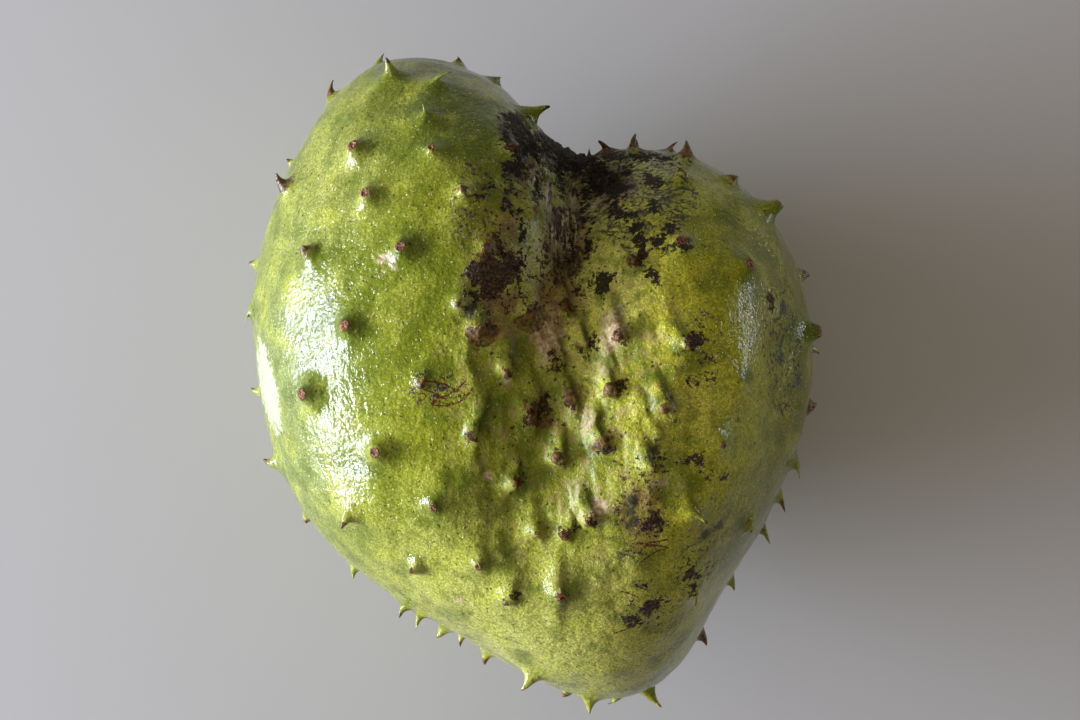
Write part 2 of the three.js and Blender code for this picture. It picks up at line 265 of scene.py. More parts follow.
# a spine shows in the solid as closed rings of points round one tip, in mm where they are lengths
spineRings = {
    "points": 6,
    "most": 4,
    "budPoints": (7, 8),            # points of the skin can touch the foot ring of a bud from outside
    "budWidth": 1,                  # a bud's first ring is wider than this
    "widest": 3,
    "shortest": 1,                  # anything shorter is a point on the side of another spine
}


def findSpines(mesh):
    places = readPlaces(mesh)
    joined = [set() for _ in places]
    for edge in mesh.edges:
        first, second = edge.vertices
        joined[first].add(second)
        joined[second].add(first)
    spines = []
    for tip in range(len(places)):
        rings, seen, ring = [], {tip}, joined[tip]
        while len(ring) == spineRings["points"] and len(rings) < spineRings["most"]:
            rings.append(ring)
            seen |= ring
            ring = set().union(*(joined[point] for point in ring)) - seen
            touched = len(rings) == 1 and len(ring) in spineRings["budPoints"]
            if touched and ringWidth(places, rings[0]) > spineRings["budWidth"]:
                nearest = sorted(ring, key=lambda point: np.linalg.norm(places[point] - places[tip]))
                ring = set(nearest[:spineRings["points"]])
        if len(rings) < 2:
            continue
        rings.reverse()             # from the foot to the tip
        middles = np.array([places[list(ring)].mean(0) for ring in rings] + [places[tip]])
        radii = [ringWidth(places, ring) for ring in rings]
        if radii[-1] > spineRings["widest"]:
            continue
        blunt = (middles[-1] - middles[-2]) @ (middles[-2] - middles[0]) < 0
        line = middles[:-1] if blunt else middles
        length = np.linalg.norm(np.diff(line, axis=0), axis=1).sum()
        if length < spineRings["shortest"]:
            continue
        spines.append({
            "foot": line[0], "line": line, "length": length, "blunt": blunt, "small": len(rings) == 2,
            "radii": np.array(radii if blunt else radii + [0.0]),
            "normal": (line[1] - line[0]) / np.linalg.norm(line[1] - line[0]),
            "rings": [list(ring) for ring in rings] + [[tip]],
        })
    return spines


# the flanks of the upper side are flatter than the solid's: middle in plan, the way it faces and how
# steeply, half sizes along the flank and down it, and how flat
flanks = (
    ((-57, 11), 179, 40, (24, 20), 0.75),
    ((-45, -22), 206, 39, (18, 16), 0.7),
    ((63, -2), 358, 44, (24, 18), 0.6),
    ((54, 36), 30, 44, (17, 14), 0.6),
)
flankAbove = 70             # the middle of a flank is looked for above this height
flankFade = (50, 80)        # and the flattening fades in between these
flankEdge = 0.7             # share of its half size over which it fades out


def flattenFlanks(piece, spines):
    places = readPlaces(piece.data)
    moved = places.copy()
    for (x, y), facing, tilt, half, share in flanks:
        upper = np.flatnonzero(places[:, 2] > flankAbove)
        middle = places[upper[np.argmin(np.hypot(places[upper, 0] - x, places[upper, 1] - y))]]
        facing, tilt = math.radians(facing), math.radians(tilt)
        out = np.array([math.cos(facing), math.sin(facing), 0])
        normal = out * math.sin(tilt) + np.array([0, 0, math.cos(tilt)])
        down = out * math.cos(tilt) - np.array([0, 0, math.sin(tilt)])
        offset = places - middle
        reach = np.hypot(offset @ np.cross(normal, down) / half[0], offset @ down / half[1])
        weight = share * easeIn(1 - reach, 0, flankEdge) * easeIn(places[:, 2], *flankFade)
        moved -= (weight * (offset @ normal))[:, None] * normal
    # a spine moves with its foot
    for spine in spines:
        shift = (moved - places)[spine["rings"][0]].mean(0)
        for ring in spine["rings"][1:]:
            moved[ring] = places[ring] + shift
        spine["foot"] = spine["foot"] + shift
        spine["line"] = spine["line"] + shift
    writePlaces(piece.data, moved)


# how far inside the padded middle a spine stands: 1 at its centre, 0 or less outside it
def padShare(spine):
    return inEllipse(spine["foot"][None, :], rind["padCentre"], rind["padHalf"])[0]


# how slim and how short the spines are made: share of their width and of their length
spineTrim = {
    "middle": (0.6, 0.6),           # between the pads
    "notch": (0.56, 0.85),          # round the notch
    "stub": (0.88, 0.85),
    "rim": (0.95, 0.88),
    "middleShare": 0.1,             # how far inside the padded middle that kind begins
    "notchAbove": 50,               # how far up in plan the notch's kind begins
    "notchReach": 34,
    "bend": 1.3,                    # mm that a tip leans over sideways
    "leastTurn": 0.2,               # a nearly upright spine bends no more than this lets it
    "longest": 5.2,
}


def trimSpines(piece, spines):
    places = readPlaces(piece.data)
    chance = np.random.default_rng(3)
    for spine in spines:
        foot = spine["foot"]
        kind = "stub" if spine["blunt"] else "rim"
        if padShare(spine) > spineTrim["middleShare"] and foot[2] > rind["upperAbove"]:
            kind = "middle"
        toNotch = math.dist(foot[:2], rind["notchAt"])
        if foot[1] > spineTrim["notchAbove"] and toNotch < spineTrim["notchReach"]:
            kind = "notch"
        slim, short = spineTrim[kind]
        short = min(short, spineTrim["longest"] / spine["length"])
        sideways = np.cross(spine["normal"], (0, 0, 1))
        lean = 0
        if not spine["blunt"]:
            turn = max(np.linalg.norm(sideways), spineTrim["leastTurn"])
            lean = spineTrim["bend"] * chance.choice((-1, 1)) / turn
        last = len(spine["rings"]) - 1
        bends = [sideways * lean * (at / last) ** 2 for at in range(last + 1)]
        for ring, bend in zip(spine["rings"][1:], bends[1:]):
            middle = places[ring].mean(0)
            places[ring] = foot + (middle - foot) * short + bend + (places[ring] - middle) * slim
        spine["line"] = foot + (spine["line"] - foot) * short + np.array(bends[:len(spine["line"])])
        spine["radii"][1:] *= slim
        spine["length"] *= short
    writePlaces(piece.data, places)


# two levels of smoothing, with the cage pushed out so that the smooth skin keeps the solid's size
def smoothRind(piece):
    wanted = readPlaces(piece.data)
    modifier = piece.modifiers.new("smooth skin", "SUBSURF")
    modifier.levels = modifier.render_levels = rind["smoothLevels"]
    for _ in range(rind["fitPasses"]):
        smooth = piece.evaluated_get(bpy.context.evaluated_depsgraph_get()).data
        missed = wanted - readPlaces(smooth)[:len(wanted)]
        writePlaces(piece.data, readPlaces(piece.data) + rind["fitShare"] * missed)
    bpy.ops.object.modifier_apply(modifier=modifier.name)


# share of an ellipse in plan: 1 in its middle, 0 at its edge and beyond
def inEllipse(places, centre, half, turn=0.0):
    angle = math.radians(turn)
    dx, dy = places[:, 0] - centre[0], places[:, 1] - centre[1]
    across = (dx * math.cos(angle) + dy * math.sin(angle)) / half[0]
    along = (dy * math.cos(angle) - dx * math.sin(angle)) / half[1]
    return 1 - np.hypot(across, along)


def easeIn(values, low, high):
    share = np.clip((values - low) / (high - low), 0, 1)
    return share * share * (3 - 2 * share)


# 0, then 1, then 0 again
def hump(values, begin, full, stillFull, end):
    return easeIn(values, begin, full) * easeIn(-values, -end, -stillFull)


def faceMiddles(mesh):
    middles = np.empty(len(mesh.polygons) * 3)
    mesh.polygons.foreach_get("center", middles)
    return middles.reshape(-1, 3) * 1000


# leaves the piece in edit mode with only these faces selected
def selectFaces(mesh, chosen):
    bpy.ops.object.mode_set(mode="EDIT")
    bpy.ops.mesh.select_all(action="DESELECT")
    bpy.ops.object.mode_set(mode="OBJECT")
    mesh.polygons.foreach_set("select", chosen)
    bpy.ops.object.mode_set(mode="EDIT")


def refine(piece, centre, half, lowest):
    middles = faceMiddles(piece.data)
    selectFaces(piece.data, (inEllipse(middles, centre, half) > 0) & (middles[:, 2] > lowest))
    bpy.ops.mesh.subdivide(number_cuts=1, smoothness=0)
    bpy.ops.object.mode_set(mode="OBJECT")


# fewer faces where the fruit faces the table
def thinOut(piece, highest, share):
    selectFaces(piece.data, faceMiddles(piece.data)[:, 2] < highest)
    bpy.ops.mesh.decimate(ratio=share)
    bpy.ops.object.mode_set(mode="OBJECT")


def noiseAt(places, size, octaves=3, seed=0.0, stretch=(1, 1, 1)):
    points = places / (size * np.array(stretch)) + seed
    return np.array([noise.fractal(point, 1.0, 2.0, octaves) for point in points.tolist()])


# plan coordinates round a place: across, and along the way that leads from it back to the notch
def towardsNotch(places, place):
    way = np.array(rind["notchAt"]) - place[:2]
    way = way / np.linalg.norm(way)
    offset = places[:, :2] - place[:2]
    return offset @ np.array([way[1], -way[0]]), offset @ way


# how each spine ends: most are dry only at the point, a few are brown far down
spineEnds = {
    "dryLength": (0.6, 2.2),        # mm of brown tip, from least to most
    "corkSize": (1.1, 1.25),        # cork against the blunt end's width
    "corkDepth": -0.9,              # mm from the blunt end down to which it is cork
    "darkAt": ((-63, 51), (-54, 77), (-1, 70), (56, 43), (66, 12), (69, -8), (66, -33), (44, -69), (-11, 74),
               (16, 66), (27, 68), (37, 65)),
    "darkLength": 4.5,
    "darkReach": 7,
    "scabSize": 1.3,                # mm from the tip
    "scabShare": 0.15,              # how far inside the padded middle the tips have scabs
    "scabBeside": (0.5, 0.1, -0.4),
    "paintReach": 0.7,              # mm of skin round a spine that are painted with it
    "bareFrom": (0.6, 1.6),         # the skin is bare from here on, against the foot's width
}


def finishSpines(spines):
    chance = np.random.default_rng(11)
    for spine in spines:
        spine["dryLength"] = chance.uniform(*spineEnds["dryLength"])
        spine["corkSize"] = chance.uniform(*spineEnds["corkSize"])
        tip = spine["line"][-1][:2]
        if any(math.dist(tip, place) < spineEnds["darkReach"] for place in spineEnds["darkAt"]):
            spine["dryLength"] = spineEnds["darkLength"]


# painted fields of the spines: share of the way to the tip, mm into the dry tip and mm into the cork end,
# and besides them 1 where the skin is bare and 0 on a spine
def spineFields(places, spines):
    outside = -9.0
    share = np.zeros(len(places))
    dry = np.full(len(places), outside)
    cork = np.full(len(places), outside)
    bare = np.ones(len(places))
    for spine in spines:
        foot, radii = spine["foot"], spine["radii"]
        near = np.flatnonzero(np.linalg.norm(places - foot, axis=1) < spine["length"] + radii[0] + 1)
        best = np.full(len(near), 1e9)
        at = np.zeros(len(near))
        wide = np.zeros(len(near))
        start = 0.0
        for begin, end, r0, r1 in zip(spine["line"], spine["line"][1:], radii, radii[1:]):
            step = end - begin
            t = np.clip((places[near] - begin) @ step / (step @ step), 0, 1)
            gap = np.linalg.norm(places[near] - begin - t[:, None] * step, axis=1)
            closer = gap < best
            size = np.linalg.norm(step)
            at[closer] = (start + t * size)[closer]
            wide[closer] = (r0 + (r1 - r0) * t)[closer]
            best[closer] = gap[closer]
            start += size
        painted = best < wide + spineEnds["paintReach"]
        on, at = near[painted], at[painted]
        if spine["blunt"]:
            end = spine["line"][-1]
            level = (places[near] - end) @ spine["normal"]
            side = np.linalg.norm(places[near] - end - level[:, None] * spine["normal"], axis=1)
            inside = radii[-1] * spine["corkSize"] - side
            cork[near] = np.where(level > spineEnds["corkDepth"], inside, outside)
        else:
            share[on] = np.maximum(share[on], at / spine["length"])
            dry[on] = np.maximum(dry[on], at - spine["length"] + spine["dryLength"])
        fromFoot = np.linalg.norm(places[near] - foot, axis=1) / radii[0]
        bare[near] = np.minimum(bare[near], easeIn(fromFoot, *spineEnds["bareFrom"]))
    return {"spineShare": share, "dryTip": dry, "corkEnd": cork}, bare


def sculptRind(piece, spines, bare):
    mesh = piece.data
    places = readPlaces(mesh)
    normals = np.empty(len(places) * 3)
    mesh.vertices.foreach_get("normal", normals)
    normals = normals.reshape(-1, 3)
    upper = easeIn(places[:, 2], *rind["reliefFade"])
    shift = np.zeros_like(places)

    # the skin rises softly to each spine
    for spine in spines:
        offset = places - spine["foot"]
        near = np.flatnonzero(np.linalg.norm(offset, axis=1) < rind["moundReach"])
        level = offset[near] @ spine["normal"]
        side = np.linalg.norm(offset[near] - level[:, None] * spine["normal"], axis=1)
        rise = rind["moundHeight"] * (rind["smallMound"] if spine["small"] else 1.0)
        shift[near] += (rise * np.exp(-(side / rind["moundRadius"]) ** 2))[:, None] * spine["normal"]

    # long pads, each with a spine at its lower end. Their edges wander a little
    wander = rind["foldWander"] * noiseAt(places, rind["wanderSize"], octaves=2, seed=8.2)
    chance = np.random.default_rng(5)
    pads, crest, paintedShadow = np.zeros((3, len(places)))
    for spine in spines:
        tall = chance.uniform(*rind["padHeight"])
        long = chance.uniform(*rind["padLength"])
        weight = easeIn(padShare(spine), 0.0, rind["padFade"])
        if spine["foot"][2] < rind["upperAbove"] or weight < rind["leastPad"]:
            continue
        if spine["blunt"]:
            weight *= rind["bluntPad"]
        across, along = towardsNotch(places, spine["foot"])
        across = across + wander
        end = hump(along, *rind["padFoot"], long * rind["padTaper"], long)
        shadowEnd = hump(along, *rind["shadowFoot"], long * rind["shadowTaper"], long)
        pads = np.maximum(pads, tall * weight * hump(across, *rind["padSide"]) * end)
        # masks of painted highlight on the lit climb and painted shadow at the foot of the steep side
        crest = np.maximum(crest, weight * hump(across, *rind["padPaintedLight"]) * end)
        paintedShadow = np.maximum(paintedShadow, weight * hump(across, *rind["padShadow"]) * shadowEnd)

    # and long folds of the same shape that end at no spine
    for x0, y0, x1, y1, tall in folds:
        way = np.array([x0 - x1, y0 - y1])
        long = np.linalg.norm(way)
        way = way / long
        offset = places[:, :2] - np.array([x1, y1])
        across, along = offset @ np.array([way[1], -way[0]]) + wander, offset @ way
        end = hump(along, *rind["foldFoot"], long, long + rind["foldTaper"])
        pads = np.maximum(pads, tall * hump(across, *rind["padSide"]) * end)
        # and the same painted highlight and painted shadow on the folds
        crest = np.maximum(crest, foldShade["crest"] * hump(across, *rind["foldPaintedLight"]) * end)
        paintedShadow = np.maximum(paintedShadow, foldShade["paintedCreaseShadow"] * hump(across, *rind["foldShadow"]) * end)
    height = pads * upper

    # low ridges between them, long and narrow
    across, along = towardsNotch(places, np.array(rind["padCentre"]))
    ridgeFrame = np.column_stack([across, along, places[:, 2]])
    stretch = (1, rind["ridgeLength"] / rind["ridgeWidth"], 3)
    ridges = noiseAt(ridgeFrame, rind["ridgeWidth"], octaves=2, seed=3.7, stretch=stretch)
    field = easeIn(inEllipse(places, rind["padCentre"], rind["padHalf"]), 0.0, rind["fieldFade"]) * upper
    height += rind["ridgeHeight"] * ridges * field * bare

    # fine upright wrinkles where the skin folds into the notch
    wrinkles = noiseAt(places, rind["wrinkleWidth"], octaves=2, seed=9.1, stretch=(1, 8, 8))
    wrinkled = easeIn(inEllipse(places, rind["wrinkleCentre"], rind["wrinkleHalf"]), 0.0, rind["wrinkleFade"])
    height += rind["wrinkleHeight"] * wrinkles * wrinkled * upper * bare

    # slow lumps all over
    height += rind["lumpHeight"] * noiseAt(places, rind["lumpSize"], octaves=2, seed=5.3)

    # crumbly crust round the notch
    crumbs = noiseAt(places, rind["crustGrain"], octaves=3, seed=1.9)
    crusted = easeIn(inEllipse(places, rind["crustCentre"], rind["crustHalf"]), 0.0, rind["fieldFade"])
    crusted *= easeIn(places[:, 2], *rind["crustDepth"])
    height += rind["crustHeight"] * crumbs * crusted * bare

    places = places + shift + height[:, None] * normals
    places[:, 2] = np.maximum(places[:, 2], 0)
    writePlaces(mesh, places)
    # returns the masks of painted highlight and painted shadow, for the tones
    return {"crest": crest * upper, "paintedCreaseShadow": paintedShadow * upper}


def saveField(mesh, name, values, kind="FLOAT", slot="value"):
    attribute = mesh.attributes.new(name, kind, "POINT")
    attribute.data.foreach_set(slot, values.astype(np.float32).ravel())


# marks on the upper side, each an ellipse in plan: x, y, half width, half height, turn
marks = {
    "crust": [
        (-5, 66, 3.4, 3, -30), (-3, 62.6, 4, 3, -30), (2.4, 62.2, 4.6, 2.8, -35),
        (7.7, 61.2, 4.6, 3, -20), (13.3, 60.6, 4.6, 3, 10), (19.9, 61, 5.4, 2.4, 0),
        (26.7, 58.6, 6.2, 2, -5), (34, 57, 4, 1.4, -10), (-4.4, 57.1, 3.4, 2.6, 0),
        (-4.6, 52.1, 2.6, 3, 0), (-1.4, 59.2, 2.6, 3.4, 0), (-8.4, 49, 1.2, 1.8, 0),
        (-7.4, 60, 1.6, 2.2, 0), (6, 53, 1.5, 7, 0), (12.6, 50, 1.6, 7, 0), (9.4, 57, 3, 2.6, 0),
        (17, 51.5, 4.6, 3.6, 20), (20.2, 48.5, 2.8, 3.4, 0), (16.2, 55.8, 3, 3.4, -10),
        (22.6, 54.4, 1.6, 2.2, 0), (29, 51.6, 2.3, 2.6, 0), (19.4, 44, 1.6, 2.4, 30),
        (21.9, 41.4, 1.9, 3.4, 38), (24.2, 36.8, 1.7, 3.6, 12), (25.4, 32, 1.6, 3, 8),
        (27, 27.4, 1.5, 3, 25), (28.8, 43.4, 0.9, 2.4, 40), (31.4, 39.2, 1, 3, 35),
        (34.8, 34, 2, 1.5, 0), (28.8, 33.6, 1.7, 2.4, 0), (30.4, 35.8, 1.5, 1.2, 0),
        (15.7, 24.8, 2.6, 2.6, 0), (-0.1, 47.3, 1.1, 3.6, 0), (-8.5, 32.9, 1.2, 3.4, 0),
        (-3.4, 33.2, 0.8, 4, 0), (-6.3, 44.9, 1.1, 4.4, 0), (9, 35, 0.7, 4, 0),
        (12.6, 34, 0.7, 3.6, -10),
    ],
    "stain": [
        (-4, 60, 5.5, 9, 20), (5, 58, 8, 5, -20), (14, 55.4, 9, 6, -10), (19.4, 50, 6, 6.4, 20),
        (28, 59, 10, 3.4, -4), (10, 44, 3, 9, 0), (8.4, 29, 4.6, 6.4, 0), (-4.6, 51, 4, 4, 0),
    ],
    "scab": [
        (-9.7, 25.8, 6.6, 4.3, 0), (-13.2, 27, 2.6, 1.6, 0), (-5.9, 28.9, 2.8, 2.8, 0),
        (-10.8, 21.8, 4.4, 1.6, 0), (36.8, -17, 2.6, 1.9, 20), (41.2, -21.7, 1.3, 1, 0),
        (44.3, -21.7, 0.7, 0.8, 0), (27.1, -31, 2.6, 3.6, 15), (28.9, -16.7, 2.2, 0.8, 0),
        (27.6, -53.4, 2.3, 3, -25), (23.5, -56.6, 2, 1.6, 0), (37.4, -46, 2, 3.9, 15),
        (24.7, -47.7, 1.2, 1, 0), (12.5, -31.5, 0.9, 1.2, 0), (8.8, -33.4, 1.4, 1, 0),
        (36.1, 10.6, 2.2, 1.8, 0), (36.6, 1, 1, 1, 0), (56.8, 20.8, 1.6, 1.6, 0),
        (-13.6, 44.2, 0.6, 0.8, 0), (-22.7, -0.6, 2.4, 1.1, 0), (4.8, 6, 1.8, 2.4, 0),
        (1.1, -5.1, 1.9, 2.6, 0), (19.5, 0, 1.5, 1.4, 0), (13.4, 9.2, 1.3, 2.2, 0),
        (-5.6, -50.6, 1, 1, 0),
    ],
    "bruise": [
        (22.3, -29.3, 2.3, 7.4, 0), (19.6, -41.1, 2, 2.8, 0), (26, -16.2, 1.8, 3.4, 25),
        (27.5, -14.1, 2.2, 3.8, 0), (39.9, -36.2, 2, 3.3, -20), (43.9, -33.5, 2.6, 1.6, 20),
        (-1.5, 16.4, 1.1, 1.4, 0), (-14.7, 17.6, 2, 2, 0), (-0.1, 46.8, 1.6, 5, 0),
        (60.8, 18.4, 2.6, 2.6, 0), (59.8, 7.2, 2.2, 4.2, 0), (65.3, 0.9, 1.6, 3.6, 0),
    ],
    "halo": [
        (-8.2, 20, 6.4, 4.4, 0), (-8.2, 13.5, 5.4, 4.2, 0), (-13.8, 10.6, 1.8, 6, 0),
        (-6.4, 36.5, 3.8, 7.4, 0), (7.8, 35, 7.2, 11, 0), (5.8, 22.5, 6.4, 7, 0),
        (2.2, -9.1, 3.4, 2.8, 0), (7.5, -17.6, 1.8, 3, 0), (24.7, -30.6, 6.4, 9, 0), (18, 50, 9, 8, 0),
        (-2, 54, 5, 9, 0),
    ],
    # painted reflection: a near-white strip where the steep left rim mirrors the bright table
    "paintedRimGlare": [
        (-68.6, -1, 4.2, 12.5, 14),
    ],
    "pink": [
        (2.9, 13, 5, 10, 0), (17.8, 12.9, 3.4, 6.4, -15), (15, 4.1, 2.4, 2, 0), (12, -7.5, 2.2, 3.2, 0),
        (-6.6, 1.1, 2.4, 2.2, 0), (15.1, -28.7, 3, 5.2, -15), (-11.1, -20.9, 1.7, 2.2, 0),
        (-18.6, -52.7, 2.2, 1.2, 0), (-35, 29.2, 3.4, 3, 0), (29.3, -22.3, 2.8, 2.2, 0),
    ],
    "fibre": [
        (3, 46.2, 2.4, 8, 0), (9.6, 46.9, 2.6, 7, 0), (7, 38, 5, 8, 0),
    ],
    "speck": [
        (-8.5, 24, 7, 7, 0), (-6.4, 36.5, 4, 8, 0), (8, 30, 7, 12, 0), (-3, 52, 6, 10, 0),
        (-24, -1, 6, 3, 0), (24, -30, 5, 10, 0), (38, 8, 4, 8, 0), (28, -54, 5, 5, 0),
        (60, 10, 5, 14, 0), (38, -44, 5, 6, 0), (-14, 42, 5, 9, 0),
    ],
    "cracked": [
        (21, 45, 9, 11, 0), (26, 36, 7, 9, 0), (28, 53, 9, 6, 0), (5, 55, 9, 6, 0), (34, 46, 6, 8, 0),
    ],
}

# mm of depth at which some marks stay open, so that they end up as scattered specks and not as one patch
markDepths = {"speck": -0.7, "stain": 3, "halo": 2.4, "cracked": 0.9, "pink": 2.2, "bruise": 2}

# thin brown scratches: both ends in plan, and how far the middle bows out
scratches = [
    (23.6, -37, 31, -36, -0.3), (24.8, -41.6, 31.3, -38.2, 0.5), (20.2, -49, 24.4, -50.6, 0.3),
    (18.8, -60, 24, -57.8, -0.3), (-27, -3.4, -16, 1.4, -1.5), (-24, -4.4, -14.5, -0.6, -1.8),
    (-26, 1, -18, -1.4, 0.8), (-28, -0.4, -20.6, -3.2, 0.4),
]

# tones of the skin, and the painted sheen, highlight and shade marked below
tones = {
    "skin": "#919811",
    "leaf": "#586a08",
    "fresh": "#8f9f14",
    # mist is painted sheen, a whitish veil for the reflection of the window side of the room, not a colour of
    # the skin
    "mist": "#87945a",
    # grass is partly the greener skin round each spine and partly painted shade on its side away from the
    # window
    "grass": "#556e0e",
    "lime": "#aeb022",
    "pale": "#d6d476",
    "gold": "#d8cf2e",
    "olive": "#6a6406",
    "straw": "#efe75c",
    "ochre": "#b99f20",
    "earth": "#74581e",
    # painted highlight and painted shadow for the pads and folds, not colours of the skin
    "crest": "#c9cc55",
    "paintedCreaseShadow": "#37420a",
}

# where they are sprayed softly over the upper side: x, y, radius, tone, strength
airbrush = [
    # the mist here and the pale patch at (-46, 54) are painted sheen on the flanks that face the window
    (-52, 5, 34, "fresh", 0.5), (-66, 8, 24, "mist", 0.75), (-58, -26, 20, "mist", 0.6),
    (-54, 44, 16, "mist", 0.4), (-34, 24, 16, "leaf", 0.4), (-30, -30, 14, "fresh", 0.5),
    (-16, 62, 22, "leaf", 1.0), (-28, 76, 14, "leaf", 0.6), (-46, 54, 14, "pale", 0.5),
    (-26, 66, 16, "leaf", 0.5), (-24, 44, 10, "lime", 0.4), (-14, 30, 14, "leaf", 0.4),
    (-40, 14, 14, "leaf", 0.4), (-22, -14, 12, "lime", 0.5), (56, 32, 20, "olive", 0.7),
    (66, -6, 24, "olive", 0.85), (34, 8, 22, "gold", 0.95), (28, 30, 16, "gold", 0.85),
    (38, -34, 13, "gold", 0.7), (14, 14, 10, "pale", 0.7), (36, -44, 12, "gold", 0.5),
    (24, -64, 18, "gold", 0.6), (0, -60, 24, "pale", 0.8), (-24, -46, 18, "pale", 0.5),
    (8, 40, 12, "earth", 0.35), (6, 16, 10, "ochre", 0.6), (20, 27, 8, "pale", 0.5),
    (55, -42, 18, "olive", 0.7), (-8, -8, 12, "leaf", 0.3), (8, -36, 18, "lime", 0.8),
    (38, -8, 14, "gold", 1.0), (36, -24, 10, "gold", 0.7), (17, -50, 12, "pale", 0.7),
    (33, -54, 9, "gold", 0.7), (22, -24, 6, "earth", 0.5), (47, -36, 9, "olive", 0.8),
    # the straw at (37, -6) is painted light: it brightens a slope that the solid turns from the window
    (37, -62, 8, "olive", 0.7), (37, -6, 9, "straw", 0.9), (14, 12, 7, "straw", 0.6),
    (-9, 8, 8, "lime", 0.4), (-9, 17, 8, "earth", 0.5), (-15, 41, 8, "earth", 0.5),
    (3, 28, 9, "pale", 0.6), (-6, 38, 6, "ochre", 0.5), (5, 44, 6, "pale", 0.5),
]


# where marks stop: heights, and the limits of their depth in mm
markLimits = {"above": 48, "scratchAbove": 60, "outside": -20, "deepest": 20}

# the notch itself is crusted all the way down its side: centre and reach in plan, squash along y, lowest
notchCrust = {"centre": (10, 66), "reach": 9, "squash": 0.8, "lowest": 26}
wornCentre, wornHalf = (8, 0), (36, 62)
scratchReach = (4, 1.4)     # mm to each side that know of a scratch, and how far past its ends


def paintMarks(piece, spines):
    mesh = piece.data
    places = readPlaces(mesh)
    outside = markLimits["outside"]
    for name, ellipses in marks.items():
        depth = np.full(len(places), float(outside))
        for x, y, halfWidth, halfHeight, turn in ellipses:
            inside = inEllipse(places, (x, y), (halfWidth, halfHeight), turn)
            depth = np.maximum(depth, inside * min(halfWidth, halfHeight))
        if name == "scab":
            # and a small dark scab at each tip of the middle
            for spine in spines:
                inMiddle = padShare(spine) > spineEnds["scabShare"] and spine["foot"][2] > rind["upperAbove"]
                if inMiddle and not spine["blunt"]:
                    tip = spine["line"][-1] + np.array(spineEnds["scabBeside"])
                    depth = np.maximum(depth, spineEnds["scabSize"] - np.linalg.norm(places - tip, axis=1))
        depth = np.minimum(depth, markDepths.get(name, markLimits["deepest"]))
        depth[places[:, 2] < markLimits["above"]] = outside
        if name == "crust":
            dx, dy = places[:, 0] - notchCrust["centre"][0], places[:, 1] - notchCrust["centre"][1]
            notch = notchCrust["reach"] - np.hypot(dx, dy * notchCrust["squash"])
            depth = np.maximum(depth, np.where(places[:, 2] > notchCrust["lowest"], notch, outside))
        saveField(mesh, name, depth)
    saveField(mesh, "worn", easeIn(inEllipse(places, wornCentre, wornHalf), 0, rind["fieldFade"]))

    # scratch coordinates: along from -1 to 1, across in mm, and 1 beside the line
    far = 9.0
    field = np.column_stack([np.full(len(places), far), np.full(len(places), far), np.zeros(len(places))])
    for x0, y0, x1, y1, bow in scratches:
        middle = np.array([x0 + x1, y0 + y1]) / 2
        half = np.array([x1 - x0, y1 - y0]) / 2
        size = np.linalg.norm(half)
        offset = places[:, :2] - middle
        along = offset @ half / size ** 2
        across = (offset[:, 0] * -half[1] + offset[:, 1] * half[0]) / size - bow * (1 - along ** 2)
        present = np.clip(1 - np.abs(across) / scratchReach[0], 0, 1)
        present *= (np.abs(along) < scratchReach[1]) * (places[:, 2] > markLimits["scratchAbove"])
        nearer = present > field[:, 2]
        field[nearer] = np.column_stack([along, across, present])[nearer]
    saveField(mesh, "scratch", field, "FLOAT_VECTOR", "vector")


# soft green tone beside each spine, blunt or not, set off to the side away from the window: partly the
# greener skin round a spine and partly painted shade. offset in plan, radius, tone, strength
spineGreenAndShade = {
    True: ((2.6, 1.2), 4.2, "grass", 0.75),
    False: ((1.6, 0.6), 2.6, "grass", 0.5),
}
padShade = {"crest": 0.4, "paintedCreaseShadow": 0.85}     # how strongly the painted highlight and painted shadow are laid on pads and folds
toneFade = (25, 60)                         # all tones fade in between these heights


def spray(colour, tone, share):
    colour += share[:, None] * (np.array(toLinear(tones[tone])) - colour)


def paintTones(piece, spines, shades):
    places = readPlaces(piece.data)
    colour = np.tile(np.array(toLinear(tones["skin"])), (len(places), 1))
    upper = easeIn(places[:, 2], *toneFade)
    for x, y, radius, tone, strength in airbrush:
        gap = np.hypot(places[:, 0] - x, places[:, 1] - y)
        spray(colour, tone, strength * np.exp(-(gap / radius) ** 2) * upper)
    # green tone beside each spine, set off to its shaded side: partly painted shade
    for spine in spines:
        offset, radius, tone, strength = spineGreenAndShade[bool(spine["blunt"])]
        gap = np.linalg.norm(places - spine["foot"] - np.array([*offset, 0]), axis=1)
        spray(colour, tone, strength * np.exp(-(gap / radius) ** 2) * upper)
    # painted highlight on the climbs and painted shadow at the feet of pads and folds
    for tone, share in shades.items():
        spray(colour, tone, padShade[tone] * share)
    saveField(piece.data, "tone", colour, "FLOAT_COLOR", "color")


